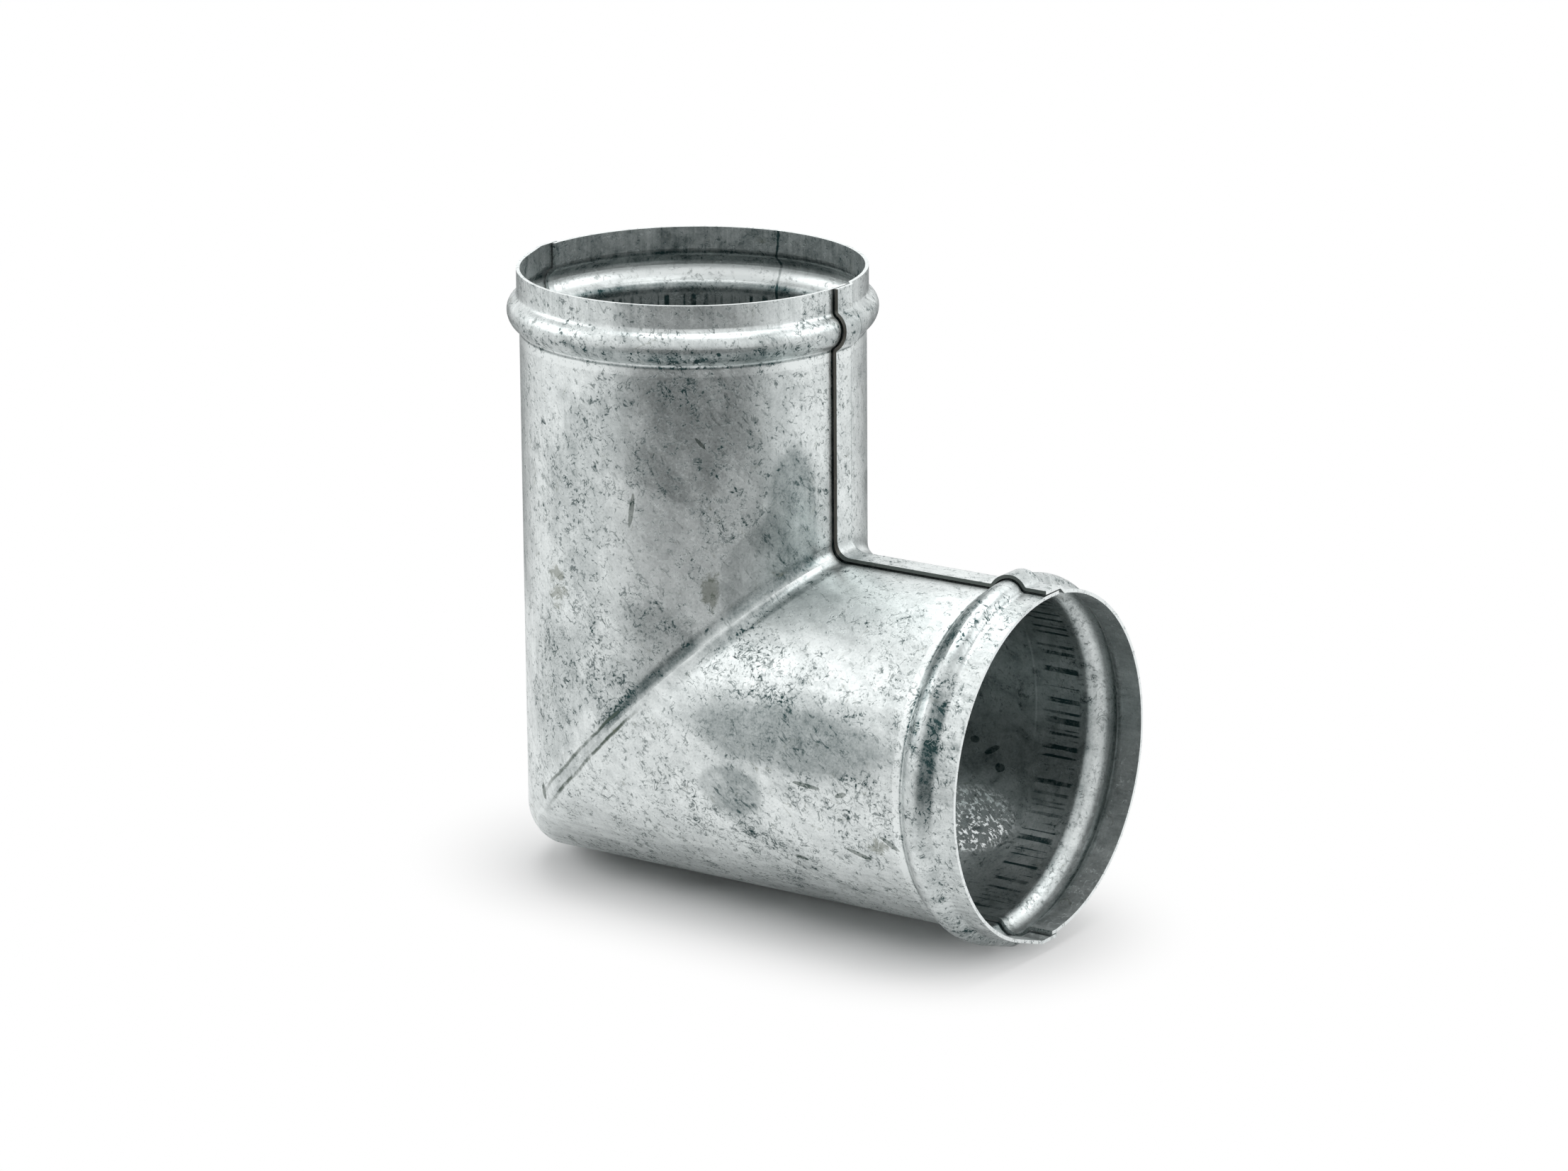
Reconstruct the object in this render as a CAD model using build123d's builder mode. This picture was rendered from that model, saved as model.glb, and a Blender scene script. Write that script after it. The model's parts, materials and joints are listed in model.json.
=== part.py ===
# Duct elbow: two pressed half shells of galvanised sheet, lapped along the plane of the bend.
# The inlet leg stands along +Z and the outlet leg runs along +X. Sizes are in millimetres.
import os
from collections import namedtuple
from math import asin, atan, cos, degrees, hypot, radians, sin

from build123d import *

# The sheet and the legs
sheet = 0.8
pipe_diameter = 79.0  # outside, between the bead and the mitre
collar_diameter = 80.0  # outside, between the rim and the bead
inlet_length = 102.5  # from the crossing of the two leg axes to the rim
outlet_length = 96.0

# The swaged bead behind each rim
collar_length = 5.2  # rim to the bead's foot
bead_height = 2.3  # crest above the collar
bead_rim_flank = 4.2  # foot to crest, on the rim's side
bead_pipe_flank = 5.2  # crest to foot, on the pipe's side
bead_foot_radius = 0.4  # at the tightest place, on the outside of the lip

# The rounding of the mitre, which grows from the throat to the heel
throat_radius = 3.6
heel_radius = 8.2

# The lap seams: the rear shell's lip is on top at the throat, with a sharp joggle. At the heel the
# front shell's lip is on top, and its sheet leaves the round gently.
lap_gap = 0.3  # between the two sheets
throat_lip = 2.2  # the rear lip's reach past the bend plane
throat_tuck = 3.2  # the front edge's reach past the bend plane, under the rear lip
heel_lip = 3.2  # the front lip's reach past the bend plane
heel_setback = 1.0  # how far the rear edge stops short of the bend plane, inside the front lip
heel_flat = 3.0  # width of the flat on each shell's own side of the bend plane, so the elbow can rest
heel_run = 9.0  # width over which the front sheet leaves the round for its lip
lap_clearance = 0.6  # from the tucked edge to the joggle above it
joggle_width = 1.8

# Sizes that follow
pipe_radius = pipe_diameter / 2
collar_radius = collar_diameter / 2
crest_radius = collar_radius + bead_height
lap_offset = sheet + lap_gap

# Each flank of the bead is two tangent arcs, the foot and the crest, which turn by the flank's slope.
rim_slope = 2 * atan(bead_height / bead_rim_flank)
pipe_slope = 2 * atan((crest_radius - pipe_radius) / bead_pipe_flank)
foot_arc = bead_foot_radius + lap_offset
rim_crest_arc = bead_rim_flank / sin(rim_slope) - foot_arc
pipe_crest_arc = bead_pipe_flank / sin(pipe_slope) - foot_arc

# The origin is under the middle of the elbow, level with the lowest bead.
reach = crest_radius + lap_offset
crossing = Vector((reach - outlet_length) / 2, 0, reach)
bend_mirror = Plane(origin=crossing, x_dir=(0, 1, 0), z_dir=(1, 0, -1))

# Along the mitre the rounding radius is a straight line in the distance from the throat:
# mean_radius + radius_slope * x, so both ends of the rounding are plane cuts.
mean_radius = (throat_radius + heel_radius) / 2
radius_slope = (throat_radius - heel_radius) / pipe_diameter
mitre_steps = 6

# A shell is on the front (-Y) or on the rear (+Y). Angles round it run from the throat to the heel.
front = -1
rear = 1
throat = 0
heel = 180

# The edge of a shell is a flat strip. It has an offset from the wall, a width on the shell's own side
# of the bend plane and a reach past that plane, and a joggle of some width joins it to the wall.
Edge = namedtuple("Edge", "offset joggle land reach")


def round_angle(distance):
    """Angle that a distance from the bend plane takes on the pipe."""
    return degrees(asin(distance / pipe_radius))


def wall_ends(throat_edge, heel_edge):
    """Angles where the round wall of a shell begins and ends, with the joggles left out."""
    begin = throat + round_angle(throat_edge.land + throat_edge.joggle)
    end = heel - round_angle(heel_edge.land + heel_edge.joggle)
    return begin, end


def leg_plane(side, angle):
    """Half plane through the inlet axis: local x is the radius, local y runs to the rim."""
    along = cos(radians(angle))
    aside = side * sin(radians(angle))
    return Plane(crossing, x_dir=(along, aside, 0), z_dir=(aside, -along, 0))


def mitre_plane(turn):
    """Section plane of the rounded mitre, with the stretch of a leg's section in it.

    A turn of 0 closes the inlet leg, and 90 degrees closes the outlet leg.
    """
    sideways = 1 - cos(radians(turn))
    downward = 1 - sin(radians(turn))
    along_x = 1 + radius_slope * sideways
    along_z = 1 + radius_slope * downward
    origin = crossing + Vector(mean_radius * sideways, 0, mean_radius * downward)
    plane = Plane(origin, x_dir=(along_x, 0, along_z), z_dir=(-along_z, 0, along_x))
    return plane, hypot(along_x, along_z)


def wall_line(length, offset):
    """Line of the sheet from rim to mitre, with the bead, at an offset from the outside."""
    foot = length - collar_length
    collar = Line((collar_radius + offset, length), (collar_radius + offset, foot))
    rise = JernArc(collar @ 1, collar % 1, foot_arc - offset, degrees(rim_slope))
    rim_crest = JernArc(rise @ 1, rise % 1, rim_crest_arc + offset, -degrees(rim_slope))
    pipe_crest = JernArc(rim_crest @ 1, rim_crest % 1, pipe_crest_arc + offset, -degrees(pipe_slope))
    fall = JernArc(pipe_crest @ 1, pipe_crest % 1, foot_arc - offset, degrees(pipe_slope))
    pipe = Line(fall @ 1, (pipe_radius + offset, -reach))
    return collar @ 0, pipe @ 1


def wall_section(plane, length, offset):
    """Section of the sheet along a leg, on a plane through its axis."""
    with BuildSketch(plane) as section:
        with BuildLine():
            outer_rim, outer_end = wall_line(length, offset)
            inner_rim, inner_end = wall_line(length, offset - sheet)
            Line(outer_rim, inner_rim)
            Line(outer_end, inner_end)
        make_face()
    return section.sketch


def shell_leg(length, side, throat_edge, heel_edge):
    """The inlet leg of a half shell: wall, joggles and edge strips, cut where the mitre begins."""
    begin, end = wall_ends(throat_edge, heel_edge)
    with BuildPart() as leg:
        revolve(
            wall_section(leg_plane(side, begin), length, 0),
            axis=Axis(crossing, (0, 0, side)),
            revolution_arc=end - begin,
        )
        for angle, wall_angle, edge in ((throat, begin, throat_edge), (heel, end, heel_edge)):
            past_plane = side * cos(radians(angle))
            strip_plane = leg_plane(side, angle).offset(-past_plane * edge.land)
            strip = wall_section(strip_plane, length, edge.offset)
            extrude(strip, amount=past_plane * (edge.land + edge.reach))
            loft([wall_section(leg_plane(side, wall_angle), length, 0), strip], ruled=True)
        split(bisect_by=mitre_plane(0)[0], keep=Keep.TOP)
    return leg.part


def mitre_section(turn, side, throat_edge, heel_edge):
    """Section of a half shell across the rounded mitre, stretched to its slanted plane."""
    plane, stretch = mitre_plane(turn)
    begin, end = wall_ends(throat_edge, heel_edge)
    arc = {"start_angle": side * begin, "arc_size": side * (end - begin)}
    with BuildSketch(plane) as section:
        with BuildLine():
            outer = EllipticalCenterArc((0, 0), stretch * pipe_radius, pipe_radius, **arc)
            bore_radius = pipe_radius - sheet
            inner = EllipticalCenterArc((0, 0), stretch * bore_radius, bore_radius, **arc)
            for angle, wall_end, edge in ((throat, 0, throat_edge), (heel, 1, heel_edge)):
                across = stretch * cos(radians(angle))
                outer_x = across * (pipe_radius + edge.offset)
                inner_x = across * (bore_radius + edge.offset)
                Polyline(
                    outer @ wall_end,
                    (outer_x, side * edge.land),
                    (outer_x, -side * edge.reach),
                    (inner_x, -side * edge.reach),
                    (inner_x, side * edge.land),
                    inner @ wall_end,
                )
        make_face()
    return section.sketch


def half_shell(*form):
    """One pressed shell, given as its side, throat edge and heel edge: two legs and the mitre."""
    inlet_leg = shell_leg(inlet_length, *form)
    outlet_leg = mirror(shell_leg(outlet_length, *form), about=bend_mirror)
    with BuildPart() as shell:
        loft([mitre_section(90 * step / mitre_steps, *form) for step in range(mitre_steps + 1)])
        add(inlet_leg)
        add(outlet_leg)
    return shell


os.makedirs("parts", exist_ok=True)

# The front shell tucks its plain edge under the rear lip at the throat.
front_half_shell = half_shell(
    front,
    Edge(offset=0, joggle=joggle_width, land=0, reach=throat_tuck),
    Edge(offset=lap_offset, joggle=heel_run, land=heel_flat, reach=heel_lip),
)
front_half_shell.part.label = "front_half_shell"
export_step(front_half_shell.part, "parts/front_half_shell.step")

# The rear shell keeps its plain edge inside the front lip at the heel.
rear_half_shell = half_shell(
    rear,
    Edge(offset=lap_offset, joggle=joggle_width, land=throat_tuck + lap_clearance, reach=throat_lip),
    Edge(offset=0, joggle=joggle_width, land=heel_flat, reach=-heel_setback),
)
rear_half_shell.part.label = "rear_half_shell"
export_step(rear_half_shell.part, "parts/rear_half_shell.step")
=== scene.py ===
# %% [markdown]
# # The finish of a galvanised duct elbow
# The real elbow is pressed from zinc-coated sheet as two half shells, lapped along the plane of the
# bend and joined for good. Both shells come from the packed frame at their real size, so nothing is
# modelled again here. This lesson gives the sheet its finish and sets a small studio around it.

# %% Load the frame
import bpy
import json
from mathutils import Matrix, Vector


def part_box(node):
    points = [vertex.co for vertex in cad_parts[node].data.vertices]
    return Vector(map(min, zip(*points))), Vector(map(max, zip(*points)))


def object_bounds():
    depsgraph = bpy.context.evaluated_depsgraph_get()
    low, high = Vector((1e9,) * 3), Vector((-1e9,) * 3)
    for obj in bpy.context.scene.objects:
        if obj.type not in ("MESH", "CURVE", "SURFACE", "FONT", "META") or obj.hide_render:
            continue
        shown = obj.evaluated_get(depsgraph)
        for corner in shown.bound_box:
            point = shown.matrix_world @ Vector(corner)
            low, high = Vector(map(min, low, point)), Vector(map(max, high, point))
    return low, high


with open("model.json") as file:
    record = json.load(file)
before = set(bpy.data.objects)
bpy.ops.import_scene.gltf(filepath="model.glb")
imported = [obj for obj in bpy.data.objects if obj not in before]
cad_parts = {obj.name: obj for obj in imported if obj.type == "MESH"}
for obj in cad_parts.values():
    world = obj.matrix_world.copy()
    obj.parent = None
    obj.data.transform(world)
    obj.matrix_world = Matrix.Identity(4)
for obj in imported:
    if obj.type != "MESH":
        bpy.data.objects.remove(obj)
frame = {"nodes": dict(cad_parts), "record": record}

cad_low, cad_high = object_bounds()
print("shells:", sorted(frame["nodes"]))
print("box in mm:", [round(1000 * side, 1) for side in cad_high - cad_low])

# %% [markdown]
# ## Where things are on the sheet
# Marks on a pressed duct follow the legs: seams, beads and tool marks run along or around them. The
# record's two mounts give the leg axes, and their crossing is the natural zero for every mark. Lengths
# on the sheet are in millimetres from here on, because that is how a tinsmith would give them.

# %% Measure the legs
import json
import math
from collections import namedtuple

import bpy
from mathutils import Quaternion, Vector

MM = 0.001
mounts = {mount["name"]: mount for mount in frame["record"]["mounts"]}
inlet_axis_x = mounts["inlet_collar"]["pos_m"][0] / MM
outlet_axis_z = mounts["outlet_collar"]["pos_m"][2] / MM
crossing = Vector((inlet_axis_x, 0, outlet_axis_z))
inlet_length = cad_high.z / MM - crossing.z
outlet_length = cad_high.x / MM - crossing.x
collar_length = mounts["inlet_collar"]["dims"]["length_mm"]
collar_bore_radius = mounts["inlet_collar"]["dims"]["r_mm"]
throat_lip_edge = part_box("rear_half_shell")[0].y / MM
print("legs:", round(inlet_length, 1), round(outlet_length, 1))
print("edge of the throat lip:", round(throat_lip_edge, 1))

# %% [markdown]
# ## Shader maths as plain expressions
# A node tree is a drawing of a formula, and a formula is easier to read as text. The class below wraps
# one socket and overloads the operators, so `1 - mask` adds a Math node. Every other node comes from
# its `node` method, which takes the type, the settings and the inputs.


# %% The socket class
class Signal:
    """A socket in a material's tree. Arithmetic on it adds Math nodes."""

    def __init__(self, tree, socket=None):
        self.tree = tree
        self.socket = socket

    def node(self, kind, settings=None, inputs=None, output=0):
        """Adds a node: its settings first, then the values or links of its sockets."""
        made = self.tree.nodes.new("ShaderNode" + kind)
        for name, value in (settings or {}).items():
            setattr(made, name, value)
        for name, value in (inputs or {}).items():
            if isinstance(value, Signal):
                self.tree.links.new(value.socket, made.inputs[name])
            else:
                made.inputs[name].default_value = value
        return Signal(self.tree, made.outputs[output])

    def math(self, operation, first, second=0.0):
        return self.node("Math", {"operation": operation}, {0: first, 1: second})

    def __add__(self, other):
        return self.math("ADD", self, other)

    def __sub__(self, other):
        return self.math("SUBTRACT", self, other)

    def __rsub__(self, other):
        return self.math("SUBTRACT", other, self)

    def __mul__(self, other):
        return self.math("MULTIPLY", self, other)

    def __truediv__(self, other):
        return self.math("DIVIDE", self, other)

    def __abs__(self):
        return self.math("ABSOLUTE", self)

    def __gt__(self, other):
        return self.math("GREATER_THAN", self, other)

    __radd__ = __add__
    __rmul__ = __mul__

    def rise(self, low, high):
        """A smooth rise from 0 at low to 1 at high, or a fall where low is the higher."""
        settings = {"interpolation_type": "SMOOTHSTEP"}
        return self.node("MapRange", settings, {"Value": self, "From Min": low, "From Max": high})

    def band(self, middle, half_width, soft):
        """1 within a band about the middle, falling to 0 over the soft width on each side."""
        return abs(self - middle).rise(half_width + soft, half_width)

    def parts(self, axes):
        """The parts of a vector along the named axes."""
        return [self.node("SeparateXYZ", inputs={0: self}, output=axis) for axis in axes]

    def tint(self, mask, colour):
        """This colour, changed to another where the mask is 1."""
        inputs = {0: mask, 6: self, 7: (*colour, 1)}
        return self.node("Mix", {"data_type": "RGBA"}, inputs, output=2)


print("signals can:", [name for name in vars(Signal) if not name.startswith("__")])

# %% [markdown]
# ## The sheet's own coordinates
# A mark that runs along the sheet needs coordinates that bend with it. The mitre plane halves the
# corner, so the distance along a leg is simply the larger of the two offsets from the crossing, and the
# distance across it is the smaller. With the angle around the leg, which is 0 at the throat, this
# unrolls both legs into one flat sheet, with no seams in the pattern and no unwrapping.


# %% Unroll the sheet
class Sheet:
    """The coordinates of a point on the elbow, as signals in millimetres."""

    def __init__(self, tree):
        start = Signal(tree)
        place = start.node("TexCoord", output="Object")
        self.point = start.node("VectorMath", {"operation": "SCALE"}, {0: place, "Scale": 1 / MM})
        offset = start.node("VectorMath", {"operation": "SUBTRACT"}, {0: self.point, 1: crossing})
        x, self.y, z = offset.parts("XYZ")
        self.on_outlet = x > z
        self.along = start.math("MAXIMUM", x, z)
        self.across = start.math("MINIMUM", x, z)
        self.off_mitre = (x - z) * math.sqrt(0.5)
        self.from_rim = inlet_length - self.along - self.on_outlet * (inlet_length - outlet_length)
        self.angle = start.math("ARCTAN2", self.y, self.across)
        self.around = self.angle * collar_bore_radius
        on_flat = {0: self.around, 1: self.along, 2: self.on_outlet * inlet_length}
        self.flat = start.node("CombineXYZ", inputs=on_flat)
        self.find_faces(start.node("NewGeometry", output="Normal"))

    def find_faces(self, normal):
        """Tells the outside, the inside, the rim and the cut edges apart by where they face."""
        normal_x, normal_y, normal_z = normal.parts("XYZ")
        normal_across = normal_x + self.on_outlet * (normal_z - normal_x)
        normal_along = normal_z + self.on_outlet * (normal_x - normal_z)
        radius = normal.math("SQRT", self.across * self.across + self.y * self.y)
        facing = (self.across * normal_across + self.y * normal_y) / radius
        self.outside = facing.rise(0.0, 0.3)
        self.inside = facing.rise(0.0, -0.3)
        self.rim_face = normal_along.rise(0.8, 0.95) * self.from_rim.rise(0.4, 0.2)
        self.cut_face = abs(normal_y).rise(0.8, 0.95) * abs(facing).rise(0.4, 0.2)

    def noise(self, size, stretch=1.0, turn=0.0, detail=3.0, rough=0.5, warp=0.0, shift=0.0):
        """Noise with features of that size in mm.

        A stretch above 1 draws it out along the leg, or along a line at that turn from the leg. Each
        kind of mark has its own shift, so that no two of them share a pattern.
        """
        mapping = {
            "Vector": self.point if stretch == 1.0 else self.flat,
            "Location": (shift, shift, shift),
            "Rotation": (0, 0, math.radians(turn)),
            "Scale": (1, stretch, 1),
        }
        inputs = {
            "Vector": self.y.node("Mapping", {"vector_type": "TEXTURE"}, mapping),
            "Scale": 1 / size,
            "Detail": detail,
            "Roughness": rough,
            "Distortion": warp,
        }
        return self.y.node("TexNoise", inputs=inputs)

    def spot(self, leg, along, angle, half_length, half_width, slant=0):
        """A soft oval on one leg: 1 in its middle, 0 at its border. Angles are from the throat.

        A slant turns its length away from the leg's direction.
        """
        turn = math.radians(slant)
        up = self.along - along
        aside = self.around - math.radians(angle) * collar_bore_radius
        lengthwise = (up * math.cos(turn) + aside * math.sin(turn)) / half_length
        crosswise = (aside * math.cos(turn) - up * math.sin(turn)) / half_width
        on_leg = self.on_outlet if leg == "outlet" else 1 - self.on_outlet
        return (lengthwise * lengthwise + crosswise * crosswise).rise(1.0, 0.0) * on_leg

    def spots(self, places):
        """All the soft ovals of a list, added up."""
        return sum(self.spot(*place) for place in places)


Spot = namedtuple("Spot", "leg along angle half_length half_width slant", defaults=[0])
print("crossing of the leg axes:", [round(value, 1) for value in crossing])

# %% [markdown]
# ## Clouds in the zinc
# Hot zinc freezes on the steel as a pale coat with faint flames in it. Handling then leaves smooth grey
# clouds, some of them with darker hearts. A picture could show all that, but here each kind of mark is
# its own noise mask at its own size, so it can be read, changed and baked. Some clouds and hearts have a
# fixed place, and these add painted shade where the legs mirror darker surroundings.

# %% Clouds and flames
# Clouds in fixed places: zinc clouds and painted shade where the legs mirror darker surroundings.
CLOUDS_AND_SHADE = (
    Spot("inlet", 74, -62, 22, 20),
    Spot("inlet", 78, -32, 20, 10),
    Spot("inlet", 50, -18, 24, 15),
    Spot("inlet", 22, -70, 16, 14),
    Spot("inlet", 10, -112, 24, 12),
    Spot("outlet", 52, -76, 34, 14),
    Spot("outlet", 38, -99, 9, 12),
    Spot("inlet", 58, -98, 30, 13),
    Spot("inlet", 11, -84, 12, 9),
)
# Hearts in fixed places: partly painted shade.
HEARTS_AND_SHADE = (
    Spot("inlet", 51, -21, 22, 9),
    Spot("inlet", 40, -31, 15, 9),
    Spot("inlet", 37, -35, 15, 11),
    Spot("outlet", 52, -77, 32, 9),
    Spot("outlet", 36, -98, 11, 7),
)


def cloud_and_painted_shade(sheet):
    """Grey clouds with ragged borders; those in fixed places are partly painted shade."""
    wander = sheet.noise(19, stretch=1.5, turn=20, detail=9.0, rough=0.68, warp=0.7, shift=3.1)
    return (wander + sheet.spots(CLOUDS_AND_SHADE) * 0.22).rise(0.50, 0.68)


def heart_and_painted_shade(sheet):
    """The darker hearts of the largest clouds, which are partly painted shade."""
    ragged = sheet.noise(7, detail=6.0, rough=0.66, warp=0.6, shift=23.0) - 0.5
    return (sheet.spots(HEARTS_AND_SHADE) + ragged * 0.8).rise(0.08, 0.60)


def marbling(sheet):
    """Pale and grey flames, a few millimetres wide, drawn out a little along the sheet."""
    return sheet.noise(5.5, stretch=1.9, turn=24, detail=7.0, rough=0.64, warp=0.9, shift=33.0)


print("clouds in fixed places:", len(CLOUDS_AND_SHADE), "and hearts:", len(HEARTS_AND_SHADE))

# %% [markdown]
# ## Specks and strokes
# Close up, the zinc is peppered with fine dark specks. They aren't round: most are short squiggles that
# crowd together in patches. Round dots would be easy, but the middle line of a noise, where it crosses
# its own mean, winds about just as the squiggles do. A second noise breaks that line into pieces.

# %% Specks and strokes
SPECK_PATCHES = (
    Spot("inlet", 57, -44, 18, 10),
    Spot("inlet", 85, -55, 9, 16),
    Spot("inlet", 22, -100, 22, 12),
    Spot("inlet", 11, -84, 12, 9),
    Spot("outlet", 30, -108, 26, 14),
    Spot("outlet", 44, -58, 22, 11),
    Spot("outlet", 72, -100, 14, 14),
)


def dark_speck(sheet):
    """Fine dark squiggles, grit and a few black flecks, which crowd together in patches."""
    patches = sheet.noise(13, detail=5.0, rough=0.65, warp=0.8, shift=12.4)
    crowd = (patches + sheet.spots(SPECK_PATCHES) * 0.13) * 0.40
    winding = abs(sheet.noise(2.4, detail=2.5, rough=0.55, warp=1.0, shift=1.9) - 0.5)
    broken = sheet.noise(1.7, detail=4.0, rough=0.65, shift=47.0)
    grit = sheet.noise(0.7, detail=2.0, rough=0.7, warp=0.4, shift=17.0)
    flecks = sheet.noise(2.0, detail=3.0, rough=0.62, warp=1.4, shift=51.0)
    squiggles = winding.rise(0.055, 0.018) * (broken + crowd).rise(0.70, 0.80)
    return squiggles + (grit + crowd).rise(0.78, 0.90) * 0.5 + (flecks + crowd).rise(0.85, 0.89) * 0.8


def slant_stroke(sheet):
    """Short strokes at a slant to the leg, as if the zinc had been wiped."""
    strokes = sheet.noise(0.95, stretch=3.0, turn=35, detail=3.0, rough=0.6, warp=0.4, shift=4.4)
    where = sheet.noise(19, detail=2.0, shift=9.3)
    return (strokes + where * 0.30).rise(0.74, 0.84)


def drawing_streak(sheet):
    """Long lines left by the press along each leg, plainest on the heel's side."""
    return sheet.noise(1.0, stretch=26.0, detail=4.0, rough=0.65, shift=2.2)


print("patches crowded with specks:", len(SPECK_PATCHES))

# %% [markdown]
# ## Stains and scratches
# A few stains have dried to a faint olive, and a few knocks have left scratches and rubbed ovals. There
# are so few of them that each one gets its own place. Noise is added to the soft ovals, and the sum is
# cut at a level, which gives every one of them a ragged border of its own.

# %% Stains and scratches
STAINS = (
    Spot("inlet", 34, -107, 8, 5),
    Spot("inlet", 37, -50, 7, 3),
    Spot("outlet", 74, -108, 5, 3),
)
SCRATCHES = (
    Spot("inlet", 55, -76, 5.5, 0.8, 8),
    Spot("inlet", 71, -53, 2.2, 0.6, -40),
    Spot("outlet", 57, -91, 5.0, 0.7, -4),
    Spot("outlet", 66, -92, 2.0, 0.8, 20),
    Spot("outlet", 78, -106, 3.8, 0.9, -32),
    Spot("outlet", 69, -113, 4.5, 0.9, -18),
    Spot("outlet", 52, -120, 2.4, 0.8, -10),
    Spot("inlet", -17, -120, 3.2, 0.9, 15),
)


def olive_stain(sheet):
    """Faint olive stains, in a few fixed places and thinly elsewhere."""
    patch = sheet.noise(5.0, detail=8.0, rough=0.74, warp=1.0, shift=31.0)
    return (patch + sheet.spots(STAINS) * 0.20).rise(0.59, 0.72)


def long_scratch(sheet):
    """A few larger scratches and rubbed ovals, each in its place."""
    ragged = (sheet.noise(1.6, detail=3.0, rough=0.6, shift=6.6) - 0.5) * 0.9
    return (sheet.spots(SCRATCHES) + ragged).rise(0.35, 0.60)


print("stains:", len(STAINS), "scratches:", len(SCRATCHES))

# %% [markdown]
# ## Lines along the lap seam and the beads
# Some of these lines are painted shade and light. There is painted shade in the crevice beside the lap
# and in the fine crease where the lip begins, a fine dark line at the bead's foot with a painted sheen
# beyond it, and a band of painted shade beside the bead's crest, where the metal mirrors darker
# surroundings.
# Such lines follow one coordinate of the sheet, so a narrow band of that coordinate is all they take.

# %% Seam and bead lines
joggle_line = 4.0
bead_crest = 9.4
bead_end = 14.6
# Offsets from the bead's crest of its band of painted shade.
dark_band_offset = 1.9
dark_band_rim_offset = 2.5


def near_throat(sheet):
    """1 on the strip of sheet around the throat seam."""
    return abs(sheet.angle).rise(0.30, 0.22)


def lap_crevice_shade(sheet):
    """Painted shade on the front sheet, right beside the lip that lies over it."""
    return (sheet.y - throat_lip_edge).band(-0.15, 0.12, 0.18) * near_throat(sheet) * sheet.outside


def joggle_crease_shade(sheet):
    """Painted shade in the fine crease where the lip begins."""
    return sheet.y.band(joggle_line, 0.14, 0.30) * near_throat(sheet) * sheet.outside


def bead_foot_line(sheet):
    """The fine dark line at the bead's foot."""
    return sheet.from_rim.band(bead_end - 0.3, 0.12, 0.30) * sheet.outside


def bead_foot_sheen(sheet):
    """A painted sheen on the band beyond that line, where the bead's foot mirrors the light above."""
    return sheet.from_rim.band(bead_end + 1.0, 0.55, 0.50) * sheet.outside


def bead_painted_dark_band(sheet):
    """Painted shade: the dark band beside the bead's crest, where the metal mirrors darker surroundings.

    It lies on the pipe's side of the inlet's bead, and on the rim's side of the outlet's.
    """
    band_streaks = sheet.noise(1.1, stretch=0.10, detail=4.0, rough=0.65, shift=27.0)
    pits = sheet.noise(1.6, detail=4.0, rough=0.7, shift=44.0)
    inlet_side = sheet.spot("inlet", inlet_length - bead_crest - dark_band_offset, -62, 30, 34)
    outlet_side = sheet.spot("outlet", outlet_length - bead_crest + dark_band_offset, -73, 30, 17)
    middle = bead_crest + dark_band_offset - sheet.on_outlet * (dark_band_offset + dark_band_rim_offset)
    band = abs(sheet.from_rim - middle).rise(2.2, 0.8)
    cover = inlet_side * 0.45 + outlet_side.rise(0.0, 0.9) * 0.65 + 0.15
    return band * cover * (band_streaks * 0.5 + pits * 0.6 + 0.1) * sheet.outside


def bead_shaded_flank(sheet):
    """The grey flank of the outlet's bead, on the pipe's side and up towards the throat."""
    flank = sheet.from_rim.band(bead_crest + 2.4, 1.2, 1.2)
    upper_part = sheet.spot("outlet", outlet_length - bead_crest, -38, 40, 26).rise(0.0, 0.5)
    return flank * upper_part * sheet.outside


print("bead crest and end, from the rim:", bead_crest, bead_end)

# %% [markdown]
# ## Traces along the mitre
# The mitre is where the press worked hardest. A tool was set down along its middle and left a dull strip
# between two scored lines. Towards the heel its edge is paler, and towards the throat painted shade lies
# along it and beside its edge. The scored lines wander a little, because a noise shifts the distance
# that they are drawn at.

# %% Mitre traces
score_throat_end = (10.0, 4.0)
score_heel_end = (-24.0, -12.0)
groove_half_width = 1.1
inlet_score = -1.5
outlet_score = 1.4


def mitre_wander(sheet):
    """Distance from the mitre's edge, as the tool wandered along it."""
    return sheet.off_mitre + (sheet.noise(7, detail=3.0, shift=8.8) - 0.5) * 1.6


def mitre_middle(sheet):
    """1 on the middle part of the mitre, where the tool was set down."""
    return sheet.across.rise(*score_throat_end) * sheet.across.rise(*score_heel_end) * sheet.outside


def mitre_groove(sheet):
    """The dull strip along the middle of the mitre, between two scored lines."""
    return mitre_wander(sheet).band(0.0, groove_half_width, 0.6) * mitre_middle(sheet)


def mitre_score(sheet):
    """The two scored lines beside that strip."""
    worn = sheet.noise(6, detail=5.0, rough=0.7, shift=18.8).rise(0.30, 0.55)
    off = mitre_wander(sheet)
    lines = off.band(inlet_score, 0.1, 0.45) * 0.8 + off.band(outlet_score, 0.12, 0.45)
    return lines * mitre_middle(sheet) * worn


def mitre_ridge(sheet):
    """A paler line along the mitre's edge near the heel."""
    heel_part = sheet.across.rise(*reversed(score_heel_end))
    return mitre_wander(sheet).band(0.1, 0.25, 0.5) * heel_part * sheet.outside


def mitre_crease_shade(sheet):
    """Painted shade along the throat's part of the mitre, on the inlet's side of it."""
    fading = 0.55 + 0.45 * sheet.across.rise(34.0, 20.0)
    crease = sheet.off_mitre.band(-1.8, 0.5, 1.5)
    return crease * sheet.across.rise(-4.0, 10.0) * fading * sheet.outside


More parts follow.
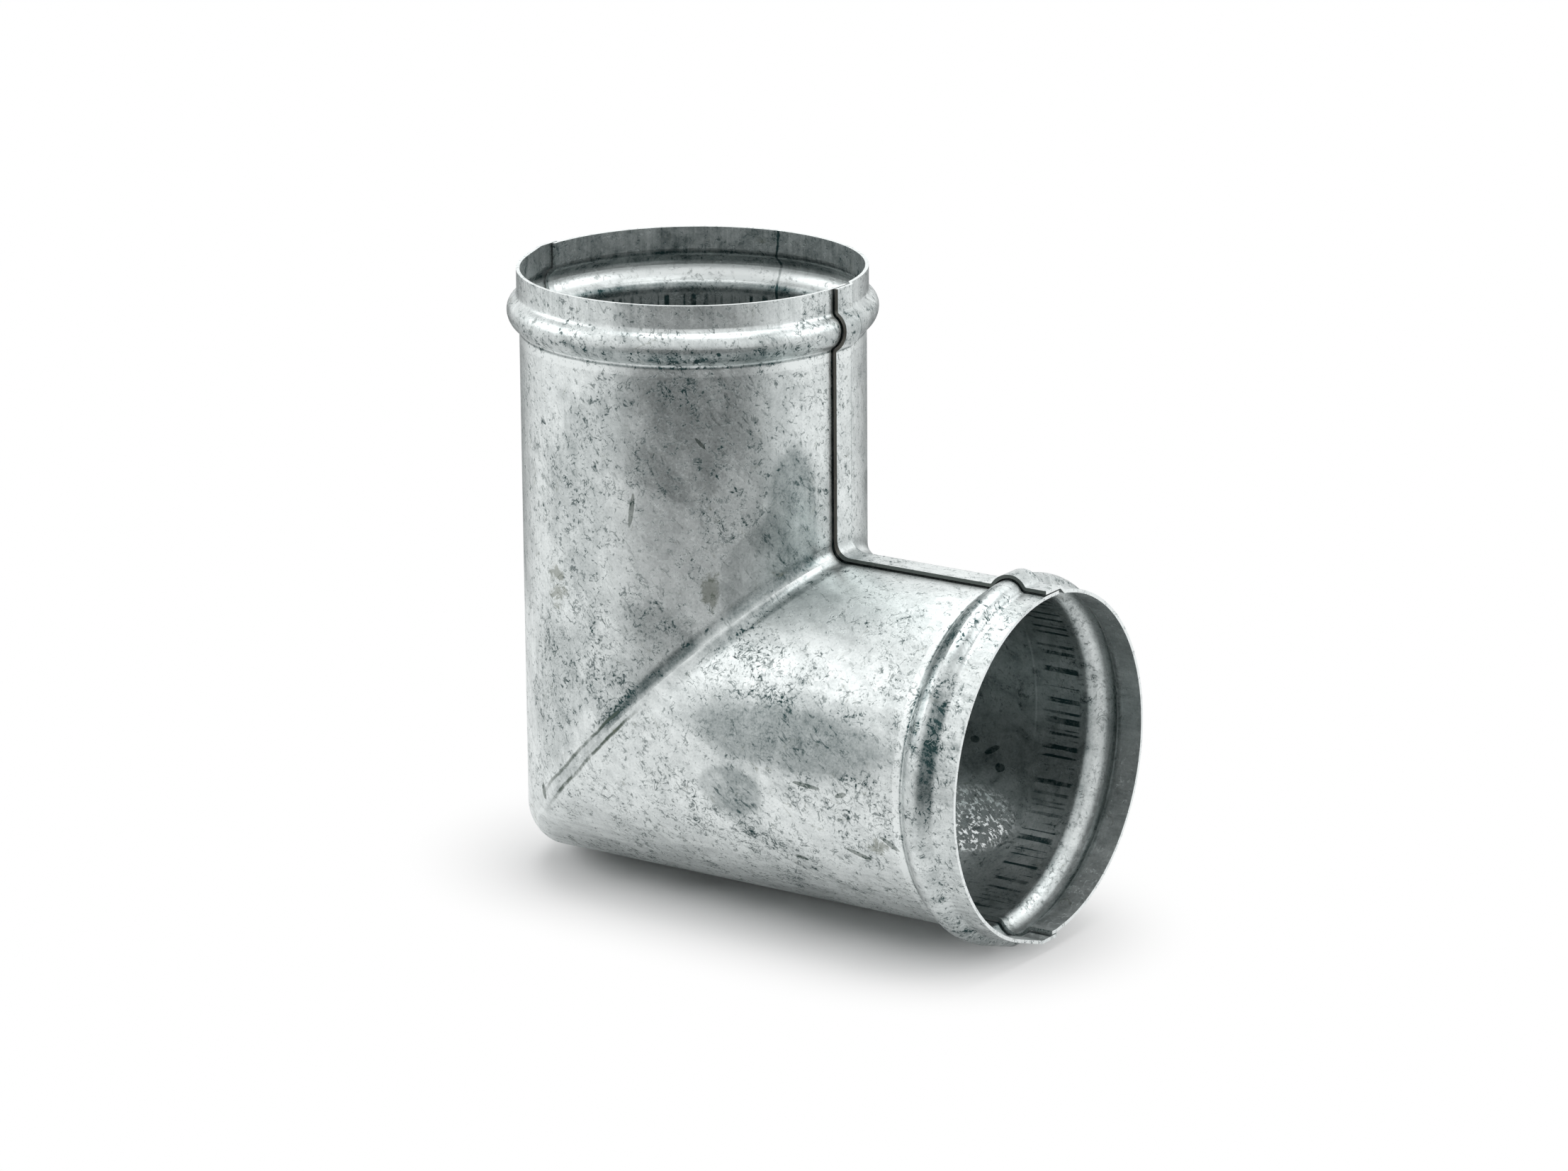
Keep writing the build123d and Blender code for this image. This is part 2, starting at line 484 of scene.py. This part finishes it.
def throat_edge_shade(sheet):
    """Painted shade on the outer part of the mitre's edge close to the throat."""
    return sheet.off_mitre.band(2.2, 1.3, 0.8) * sheet.across.rise(12.0, 28.0) * sheet.outside


def mitre_edge(sheet):
    """The strip along the mitre's edge that is rubbed clean of specks."""
    return sheet.off_mitre.band(0.0, 1.6, 1.0) * sheet.outside


print("scored lines of the mitre are apart by mm:", round(outlet_score - inlet_score, 1))

# %% [markdown]
# ## Marks inside the pipe
# Behind each bead the sheet was gathered, and that shows inside as a row of short dark ticks. They are
# too uneven for a plain pattern of stripes, so a noise in one dimension, run around the pipe, is cut at
# a level. Further in are a few pits and a rubbed place brightened as a painted glint, each in its place.
# Beside the rear sheet's edge lies a line of painted shade.

# %% Ticks, lines and pits
tick_start = 15.5
tick_end = 26.0
tick_pitch = 1.6
outlet_tick_shift = 40.0
PITS = (
    Spot("outlet", 60.5, 114.5, 1.9, 1.5),
    Spot("outlet", 57.5, 109.0, 3.2, 1.0, -30),
    Spot("outlet", 52.5, 106.5, 1.7, 1.2),
)


def gather_tick(sheet):
    """Short dark ticks inside, in a row behind the bead."""
    place = sheet.around / tick_pitch + sheet.on_outlet * outlet_tick_shift
    inputs = {"W": place, "Scale": 1.0, "Detail": 1.5}
    comb = sheet.y.node("TexNoise", {"noise_dimensions": "1D"}, inputs)
    ragged = sheet.noise(1.4, stretch=5.0, detail=4.0, rough=0.6, shift=5.0)
    faded = sheet.noise(9, detail=2.0, shift=71.0).rise(0.30, 0.62) * 0.6 + 0.4
    reach = (sheet.from_rim + ragged * 8.0 - 4.0).rise(tick_end, tick_end - 2.0)
    bars = (comb + (ragged - 0.5) * 0.28).rise(0.52, 0.60)
    return bars * faded * sheet.from_rim.rise(tick_start, tick_start + 1.0) * reach * sheet.inside


def hairline(sheet):
    """A fine dark line down the inlet's far wall, from the rim over the bead."""
    wander = (sheet.noise(5, detail=3.0, shift=38.0) - 0.5) * 2.5
    line = (sheet.around + wander).band(math.radians(95) * collar_bore_radius, 0.12, 0.35)
    return line * sheet.from_rim.rise(24.0, 18.0) * (1 - sheet.on_outlet) * sheet.inside


def heel_crevice_shade(sheet):
    """Painted shade: the dark line inside the outlet, beside the edge of the rear sheet."""
    return sheet.y.band(0.7, 0.2, 0.3) * abs(sheet.angle).rise(2.95, 3.02) * sheet.on_outlet


def inside_pit(sheet):
    """A few dark pits on the outlet's far wall."""
    ragged = sheet.noise(1.4, detail=3.0, rough=0.6, shift=9.0) - 0.5
    return (sheet.spots(PITS) + ragged).rise(0.35, 0.65)


def inside_scuff_and_glint(sheet):
    """A rubbed place low on the outlet's far wall, brightened as a painted glint."""
    streaks = sheet.noise(0.9, stretch=2.4, turn=-30, detail=5.0, rough=0.75, shift=61.0)
    # The rubbed place is brightened by a painted glint.
    rubbed = sheet.spot("outlet", 57, 135, 15, 11).rise(0.05, 0.75)
    return rubbed * streaks.rise(0.47, 0.55) * sheet.inside


print("room for ticks around the pipe:", round(math.tau * collar_bore_radius / tick_pitch))

# %% [markdown]
# ## The tone of the outside
# Zinc is a metal, so the colour of its reflection is the base colour. One tone, from 0 for dark to 1 for
# pale, carries all the marks: each takes its share from a clean pale coat or adds to it. A chain of Mix
# nodes would do too, but a weighted sum is shorter and doesn't depend on the order.

# %% Weigh the outside
CLEAN_OUTSIDE = 0.88
ZincMarks = namedtuple("ZincMarks", "cloud heart speck stroke scratch scuff grain blotch")


def zinc_marks(sheet):
    """The masks that more than one part of the material needs."""
    heart = heart_and_painted_shade(sheet)
    return ZincMarks(
        cloud=cloud_and_painted_shade(sheet),
        heart=heart,
        speck=dark_speck(sheet) * (1 - heart * 0.7) * (1 - mitre_edge(sheet) * 0.7),
        stroke=slant_stroke(sheet),
        scratch=long_scratch(sheet),
        scuff=inside_scuff_and_glint(sheet),
        grain=sheet.noise(0.55, detail=3.0, rough=0.7),
        blotch=sheet.noise(3.4, detail=3.0, rough=0.6, shift=21.0),
    )


def weigh(*shares):
    """The sum of masks, each times its weight."""
    return sum(mask * weight for mask, weight in shares)


def outside_tone(sheet, marks):
    """Tone of the outside: pale, apart from its marks."""
    heel_side = abs(sheet.angle).rise(1.7, 2.6)
    # Painted shade on the outlet's underside, which mirrors the shadowed table.
    outlet_underside_shade = sheet.on_outlet * abs(sheet.angle).rise(2.0, 2.5)
    collar = sheet.from_rim.rise(collar_length + 0.4, collar_length - 0.6)
    bead = sheet.from_rim.band(bead_crest, 3.0, 1.5)
    darker = weigh(
        (marks.cloud, 0.22),
        (marks.heart, 0.25),
        (marks.speck, 0.46),
        (marks.stroke, 0.26),
        (marks.scratch, 0.45),
        (outlet_underside_shade, 0.09),
        (collar, 0.10),
        (bead, 0.13),
        (bead_foot_line(sheet), 0.45),
        (bead_painted_dark_band(sheet), 0.95),
        (bead_shaded_flank(sheet), 0.40),
        (joggle_crease_shade(sheet), 0.60),
        (mitre_score(sheet), 0.70),
        (mitre_crease_shade(sheet), 0.45),
        (mitre_groove(sheet), 0.20),
        (throat_edge_shade(sheet), 0.30),
    )
    paler = weigh((bead_foot_sheen(sheet), 0.18), (mitre_ridge(sheet), 0.15))
    flames = (marbling(sheet) - 0.5) * (0.60 + bead * 0.3)
    streaks = (drawing_streak(sheet) - 0.5) * (heel_side * 0.5 + collar * 0.4 + 0.18)
    return CLEAN_OUTSIDE + flames + streaks + paler - darker


print("tone of clean zinc outside:", CLEAN_OUTSIDE)

# %% [markdown]
# ## The tone of the inside
# Inside the pipe the coat is duller, and its tone is darker than outside as painted shade, apart from
# the bead, whose bright tone is a painted highlight. The same weighted sum serves here, starting from a
# lower tone.

# %% Weigh the inside
# A lower tone for the inside, as painted shade.
INSIDE_SHADE_TONE = 0.50


def inside_tone(sheet, marks):
    """Tone of the inside: dark on the pipe as painted shade, bright on the bead as a painted highlight,
    dull on the collar.
    """
    smudge = sheet.noise(8, detail=5.0, rough=0.65, warp=1.0, shift=14.0).rise(0.42, 0.66)
    # Painted highlight on the bead inside, and painted shade at the inlet bead's foot.
    bead = sheet.from_rim.band(bead_crest + 1.4, 1.3, 1.5)
    inside_bead_foot_shade = sheet.from_rim.band(bead_end - 0.3, 0.8, 0.7) * (1 - sheet.on_outlet)
    fine_groove = sheet.from_rim.band(collar_length + 0.9, 0.15, 0.4)
    wide_groove = sheet.from_rim.band(collar_length + 2.4, 0.5, 0.8)
    collar = sheet.from_rim.rise(collar_length + 1.8, collar_length + 0.8)
    gathered = sheet.from_rim.rise(30.0, 22.0)
    ring = sheet.along.band(68.2, 0.10, 0.30) * sheet.spot("outlet", 68, 80, 20, 20)
    paler = weigh(
        (bead, 0.58 - sheet.on_outlet * 0.24),
        (collar, sheet.on_outlet * 0.38 - 0.06),
        (collar, (drawing_streak(sheet) - 0.5) * 0.5),
        (gathered, 0.04),
        (ring, 0.20),
        (marks.scuff, 0.95),
    )
    darker = weigh(
        (marks.cloud, 0.10),
        (marks.speck, 0.20),
        (smudge, 0.20),
        (fine_groove, 0.18),
        (wide_groove, 0.18),
        (inside_bead_foot_shade, 0.22),
        (inside_pit(sheet), 0.34),
        (gather_tick(sheet), 0.55),
        (heel_crevice_shade(sheet), 0.60),
        (hairline(sheet), 0.45),
    )
    flames = (marbling(sheet) - 0.5) * 0.40
    return INSIDE_SHADE_TONE + flames + paler - darker


print("tone of clean zinc inside:", INSIDE_SHADE_TONE)

# %% [markdown]
# ## The galvanised material
# The tone picks a colour between dark and pale zinc, and stains and bare cut edges are laid over that.
# The grain shows mostly in the roughness and in a slight relief, so those two reuse the same masks. One
# material serves both shells, because both are pressed from the same sheet.

# %% Mix the coat
DARK_ZINC = (0.028, 0.061, 0.063)
PALE_ZINC = (0.82, 0.86, 0.855)
STAINED_ZINC = (0.15, 0.165, 0.125)
CUT_STEEL = (0.22, 0.21, 0.19)
ZINC_ROUGHNESS = 0.36
ZINC_METALLIC = 0.95
RELIEF_HEIGHT = 0.05
RELIEF_STRENGTH = 0.5


def zinc_tone(sheet, marks):
    """Tone of the whole sheet, outside and inside."""
    outer = outside_tone(sheet, marks)
    inner = inside_tone(sheet, marks)
    tone = outer + (inner - outer) * sheet.inside
    grained = tone + (marks.grain - 0.5) * 0.50 + (marks.blotch - 0.5) * 0.36
    # Painted shade in the lap's crevice, and a painted highlight on the rim's end face.
    return grained - lap_crevice_shade(sheet) * 0.75 + sheet.rim_face * 0.35


def zinc_colour(sheet, marks):
    """Base colour: zinc by its tone, olive where dirt has settled, bare steel on cut edges, and painted
    shade on the outlet's cut edges.
    """
    tones = {0: zinc_tone(sheet, marks), 6: (*DARK_ZINC, 1), 7: (*PALE_ZINC, 1)}
    zinc = sheet.y.node("Mix", {"data_type": "RGBA"}, tones, output=2)
    dirt = weigh((olive_stain(sheet), 0.60), (marks.scratch, 0.25), (mitre_score(sheet), 0.5))
    cut_edge = sheet.cut_face * near_throat(sheet)
    # Painted shade on the lip's cut edge along the outlet.
    cut_shade = cut_edge * sheet.on_outlet * 0.6
    return zinc.tint(dirt, STAINED_ZINC).tint(cut_edge, CUT_STEEL).tint(cut_shade, DARK_ZINC)


def zinc_roughness(sheet, marks):
    """Roughness: smoother where the coat is rubbed, rougher in specks and inside."""
    return ZINC_ROUGHNESS + weigh(
        (marks.cloud, -0.06),
        (marks.speck, 0.18),
        (marks.grain - 0.5, 0.20),
        (marks.scuff, -0.22),
        (sheet.inside, 0.06),
    )


def zinc_relief(marks):
    """The slight relief of grain, specks, strokes and scratches."""
    relief = weigh(
        (marks.grain, 0.5),
        (marks.speck, -0.6),
        (marks.stroke, -0.3),
        (marks.scratch, -0.5),
        (marks.scuff, 1.5),
    )
    inputs = {"Strength": RELIEF_STRENGTH, "Distance": RELIEF_HEIGHT * MM, "Height": relief}
    return relief.node("Bump", inputs=inputs)


def galvanised_sheet():
    """The zinc coat of both shells."""
    coat = bpy.data.materials.new("galvanised_sheet")
    coat.use_nodes = True
    tree = coat.node_tree
    shader = tree.nodes["Principled BSDF"]
    sheet = Sheet(tree)
    marks = zinc_marks(sheet)
    tree.links.new(zinc_colour(sheet, marks).socket, shader.inputs["Base Color"])
    tree.links.new(zinc_roughness(sheet, marks).socket, shader.inputs["Roughness"])
    tree.links.new(zinc_relief(marks).socket, shader.inputs["Normal"])
    shader.inputs["Metallic"].default_value = ZINC_METALLIC
    return coat


zinc_coat = galvanised_sheet()
for node in frame["nodes"].values():
    node.data.materials.clear()
    node.data.materials.append(zinc_coat)
print("coat nodes:", len(zinc_coat.node_tree.nodes))

# %% [markdown]
# ## The table
# The elbow touches the table with the outlet bead and with the heel, which is a little higher, so it
# stands with a slight lean. The shells stay where the frame has them and the table leans instead: its
# slope is the smallest one that touches the sheet behind the bead. The studio is measured in metres,
# as Blender does.

# %% Lay the table
front_points = [corner.co for corner in frame["nodes"]["front_half_shell"].data.vertices]
lowest = min(front_points, key=lambda point: point.z)
behind = [
    corner.co
    for node in frame["nodes"].values()
    for corner in node.data.vertices
    if corner.co.x < lowest.x - collar_bore_radius * MM
]
table_slope = min(point.z / (lowest.x - point.x) for point in behind)
table_half = 3.0
PAPER_WHITE = (0.93, 0.93, 0.93)
PAPER_ROUGHNESS = 0.8


def lay_sheet(name, corners, colour):
    """A flat piece of the studio, given by its corners on the table."""
    mesh = bpy.data.meshes.new(name)
    points = [(x, y, (lowest.x - x) * table_slope) for x, y in corners]
    mesh.from_pydata(points, [], [tuple(range(len(points)))])
    piece = bpy.data.objects.new(name, mesh)
    bpy.context.scene.collection.objects.link(piece)
    paint = bpy.data.materials.new(name)
    paint.use_nodes = True
    shader = paint.node_tree.nodes["Principled BSDF"]
    shader.inputs["Base Color"].default_value = (*colour, 1)
    shader.inputs["Roughness"].default_value = PAPER_ROUGHNESS
    mesh.materials.append(paint)
    return piece


table_corners = [(x * table_half, y * table_half) for x, y in ((-1, -1), (1, -1), (1, 1), (-1, 1))]
table = lay_sheet("table", table_corners, PAPER_WHITE)
print("table slope in degrees:", round(math.degrees(math.atan(table_slope)), 2))

# %% [markdown]
# ## A white distance
# The lamps hang over the elbow, so a plain table would grow grey further out. On a real set the paper
# is lit all over. Here the far table turns to plain white for the camera and for mirrored rays, and the
# part near the elbow stays paper, which takes the shadow. Near and far are measured from the contact
# line, which runs under the elbow from the heel to the outlet bead.

# %% Whiten the far table
contact_half_length = 0.038
paper_reach = 0.007
white_from = 0.062
SEEN_RAYS = ("Is Camera Ray", "Is Glossy Ray", "Is Transmission Ray")


def seen_rays(start):
    """1 for rays that reach the camera straight, mirrored or through glass."""
    return sum(start.node("LightPath", output=ray) for ray in SEEN_RAYS)


paper = table.data.materials[0].node_tree
surface = Signal(paper, paper.nodes["Principled BSDF"].outputs[0])
table_x, table_y = surface.node("TexCoord", output="Object").parts("XY")
past_end = surface.math("MAXIMUM", abs(table_x) - contact_half_length, 0.0)
distance = surface.math("SQRT", past_end * past_end + table_y * table_y)
whiteness = distance.rise(paper_reach, white_from) * seen_rays(surface)
white = surface.node("Emission", inputs={"Color": (1, 1, 1, 1), "Strength": 1.0})
whitened = surface.node("MixShader", inputs={0: whiteness, 1: surface, 2: white})
paper.links.new(whitened.socket, paper.nodes["Material Output"].inputs["Surface"])
print("table is paper to", paper_reach, "m and white from", white_from, "m")

# %% [markdown]
# ## Dark cards
# Bare metal in an all-white room has no form, so a photographer lays dark cards where the metal will
# mirror them. One lies in front of the elbow and one behind, each beginning just outside the picture.
# Their sides fade out, so that the metal darkens gradually. They show in reflections only, so the table
# stays white and keeps its shadow.

# %% Lay the cards
view_azimuth = math.radians(34.312)
card_near = 0.23
card_far = 2.6
card_half_angle = math.radians(60)
card_dark_angle = math.radians(26)
card_steps = 8
card_lift = 0.002
CARD_GREY = (0.10, 0.107, 0.107)


def card_outline(middle, azimuth):
    """Corners of a ring sector: out along its near arc and back along its far one."""
    turns = [azimuth + card_half_angle * (2 * step / card_steps - 1) for step in range(card_steps + 1)]
    rays = [Vector((math.sin(turn), -math.cos(turn))) for turn in turns]
    near_arc = [middle + ray * card_near for ray in rays]
    far_arc = [middle + ray * card_far for ray in reversed(rays)]
    return near_arc + far_arc


def dark_card(name, azimuth):
    """A ring sector on the table that fades out at its sides, seen only in reflections."""
    middle = Vector((crossing.x, 0)) * MM
    card = lay_sheet(name, card_outline(middle, azimuth), CARD_GREY)
    card.location.z = card_lift
    tree = card.data.materials[0].node_tree
    table_x, table_y = Signal(tree).node("TexCoord", output="Object").parts("XY")
    x = table_x - middle.x
    y = table_y - middle.y
    onward = x * math.sin(azimuth) - y * math.cos(azimuth)
    aside = x * math.cos(azimuth) + y * math.sin(azimuth)
    cover = abs(x.math("ARCTAN2", aside, onward)).rise(card_half_angle, card_dark_angle)
    tree.links.new(cover.socket, tree.nodes["Principled BSDF"].inputs["Alpha"])
    card.visible_camera = False
    card.visible_diffuse = False
    card.visible_shadow = False


dark_card("front_card", view_azimuth)
dark_card("back_card", view_azimuth + math.pi)
print("cards reach from", card_near, "to", card_far, "m")

# %% [markdown]
# ## The light
# One large softbox hangs above and a little behind, so that the shadow falls forward, and two smaller
# ones fill in from the sides. The white room is seen by the camera and mirrored by the metal at full
# strength, and lights the rest less.

# %% Light it
lamp_target = Vector((0, 0, 0.07))
room_fill = 0.22


def softbox(name, place, size, watts):
    """A square soft light that looks at the elbow."""
    lamp = bpy.data.lights.new(name, "AREA")
    lamp.size = size
    lamp.energy = watts
    stand = bpy.data.objects.new(name, lamp)
    stand.location = place
    stand.rotation_euler = (Vector(place) - lamp_target).to_track_quat("Z", "Y").to_euler()
    bpy.context.scene.collection.objects.link(stand)
    print(name, "gives", watts, "W")


softbox("overhead_softbox", (-0.1, 0.3, 1.7), 1.4, 15)
softbox("left_softbox", (-1.3, -0.6, 0.8), 0.9, 5)
softbox("right_softbox", (1.2, 0.7, 0.9), 0.9, 5)

world = bpy.data.worlds.new("studio")
bpy.context.scene.world = world
world.use_nodes = True
room_strength = room_fill + seen_rays(Signal(world.node_tree)) * (1 - room_fill)
background = world.node_tree.nodes["Background"]
background.inputs["Color"].default_value = (1, 1, 1, 1)
world.node_tree.links.new(room_strength.socket, background.inputs["Strength"])

# %% [markdown]
# ## The camera
# The view comes from the front right and a little above, through a long lens. A long lens stands far
# off, so the two legs keep nearly parallel sides, as the real ones do.

# %% Aim the camera
view_elevation = math.radians(16.134)
view_roll = math.radians(-0.432)
view_distance = 1402.3
view_target = crossing + Vector((24.48, 0, 30.71))
view_back = Vector((
    math.sin(view_azimuth) * math.cos(view_elevation),
    -math.cos(view_azimuth) * math.cos(view_elevation),
    math.sin(view_elevation),
))
camera = bpy.data.cameras.new("camera")
camera.sensor_width = 36
camera.lens = 141.36
camera.clip_end = 20
tripod = bpy.data.objects.new("camera", camera)
tripod.location = (view_target + view_back * view_distance) * MM
tripod.rotation_mode = "QUATERNION"
tripod.rotation_quaternion = view_back.to_track_quat("Z", "Y") @ Quaternion((0, 0, 1), view_roll)
bpy.context.scene.collection.objects.link(tripod)
bpy.context.scene.camera = tripod
bpy.context.scene.view_settings.view_transform = "Standard"
print("camera stands at", [round(value, 3) for value in tripod.location])

# %% [markdown]
# ## The size of the part
# The finish lies in the material alone, so it leaves the size of the packed shells as it is.
